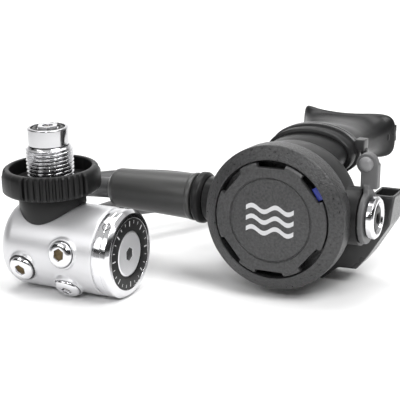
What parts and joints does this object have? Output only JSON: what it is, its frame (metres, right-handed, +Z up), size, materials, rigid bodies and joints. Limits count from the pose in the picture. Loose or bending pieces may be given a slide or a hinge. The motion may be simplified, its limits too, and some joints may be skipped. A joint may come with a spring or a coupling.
{
  "type": "scuba regulator set",
  "caption": "Scuba regulator set: a DIN first stage with hand wheel, a low-pressure hose and a demand second stage with purge cover, lever, exhaust tee and mouthpiece.",
  "frame": {"origin": "on the floor, under the middle of the two stages' box", "axes": "+Z up, with the DIN thread leaning 3.5 degrees to the front, -Y the side the purge cover and the dial face, +X from the first stage to the second"},
  "size_m": [0.2156, 0.2525, 0.0814],
  "materials": {
    "satin_silver": "satin sprayed silver over brass",
    "chrome": "polished chrome plate",
    "wheel_plastic": "moulded, ribbed",
    "collar_plastic": "moulded",
    "dial_black": "satin black ring with tick marks",
    "cover_plastic": "fine textured charcoal",
    "case_plastic": "moulded black",
    "lever_plastic": "moulded dark grey",
    "blue_plastic": "moulded blue",
    "hose_rubber": "smooth extruded",
    "protector_rubber": "moulded, soft sheen",
    "silicone": "moulded silicone",
    "seal_rubber": "o-ring rubber",
    "clear_silicone": "thin moulded silicone",
    "strap_plastic": "moulded nylon",
    "brass": "machined",
    "steel": "spring steel"
  },
  "bodies": {
    "first_stage": {"first_stage_body": "satin_silver", "low_pressure_plugs": "chrome", "high_pressure_plugs": "chrome", "port_o_rings": "seal_rubber", "neck_collar": "collar_plastic", "din_nose": "chrome", "nose_o_ring": "seal_rubber", "filter_retainer": "chrome", "inlet_filter": "brass", "first_stage_cap": "chrome", "dial_ring": "dial_black", "spring_adjuster": "chrome", "first_diaphragm": "seal_rubber", "main_spring": "steel", "high_pressure_orifice": "brass", "poppet_spring": "steel", "hose": "hose_rubber", "hose_fitting": "chrome", "first_ferrule": "chrome", "second_ferrule": "chrome", "hose_protector": "protector_rubber", "swivel_nut": "collar_plastic"},
    "second_stage": {"second_stage_case": "case_plastic", "front_cover": "cover_plastic", "blue_insert": "blue_plastic", "purge_spring": "steel", "second_diaphragm": "clear_silicone", "valve_barrel": "chrome", "lever_pin": "steel", "inlet_orifice": "brass", "demand_spring": "steel", "balance_plug": "dial_black", "barrel_end_ring": "chrome", "exhaust_valve": "clear_silicone", "exhaust_tee": "case_plastic", "mouthpiece": "silicone", "mouthpiece_strap": "strap_plastic"},
    "hand_wheel": {"hand_wheel": "wheel_plastic", "din_coupler": "chrome"},
    "first_valve": {"high_pressure_poppet": "brass", "lifter_pin": "steel", "diaphragm_pad": "brass"},
    "purge_button": {"purge_button": "cover_plastic"},
    "diaphragm_plate": {"diaphragm_plate": "steel"},
    "demand_lever": {"demand_lever": "steel"},
    "demand_poppet": {"demand_poppet": "brass", "lever_nut": "brass"},
    "venturi_lever": {"venturi_lever": "lever_plastic"}
  },
  "joints": [
    {"name": "wheel_spin", "type": "hinge", "parent": "first_stage", "child": "hand_wheel", "pos_m": [-0.07878, -0.03321, 0.05444], "axis": [-0.0268, -0.0549, 0.9981], "continuous": true},
    {"name": "valve_lift", "type": "slide", "parent": "first_stage", "child": "first_valve", "axis": [-0.8988, 0.4384, 0], "range_m": [0, 0.0008], "stiffness_N_per_m": 400, "deforming": ["main_spring", "poppet_spring", "first_diaphragm"]},
    {"name": "hose_swivel", "type": "hinge", "parent": "first_stage", "child": "second_stage", "pos_m": [0.0373, -0.0316, 0.0396], "axis": [0.8988, -0.4384, 0], "continuous": true},
    {"name": "purge_press", "type": "slide", "parent": "second_stage", "child": "purge_button", "axis": [0.4384, 0.8988, 0], "range_m": [0, 0.003], "stiffness_N_per_m": 300, "deforming": ["purge_spring", "second_diaphragm"]},
    {"name": "plate_stroke", "type": "slide", "parent": "second_stage", "child": "diaphragm_plate", "axis": [0.4384, 0.8988, 0], "range_m": [0, 0.0033]},
    {"name": "lever_swing", "type": "hinge", "parent": "second_stage", "child": "demand_lever", "pos_m": [0.04405, -0.04513, 0.0396], "axis": [0, 0, -1], "range_deg": [0, 14]},
    {"name": "poppet_pull", "type": "slide", "parent": "second_stage", "child": "demand_poppet", "axis": [0.8988, -0.4384, 0], "range_m": [0, 0.0011], "deforming": ["demand_spring"]},
    {"name": "venturi_turn", "type": "hinge", "parent": "second_stage", "child": "venturi_lever", "pos_m": [0.07145, -0.04826, 0.0396], "axis": [0.8988, -0.4384, 0], "range_deg": [-45, 15]}
  ],
  "couplings": [
    {"joint": "plate_stroke", "follows": "purge_press", "ratio": 1},
    {"joint": "lever_swing", "follows": "purge_press", "rad_per_m": 74.067},
    {"joint": "poppet_pull", "follows": "purge_press", "ratio": 0.3333}
  ]
}
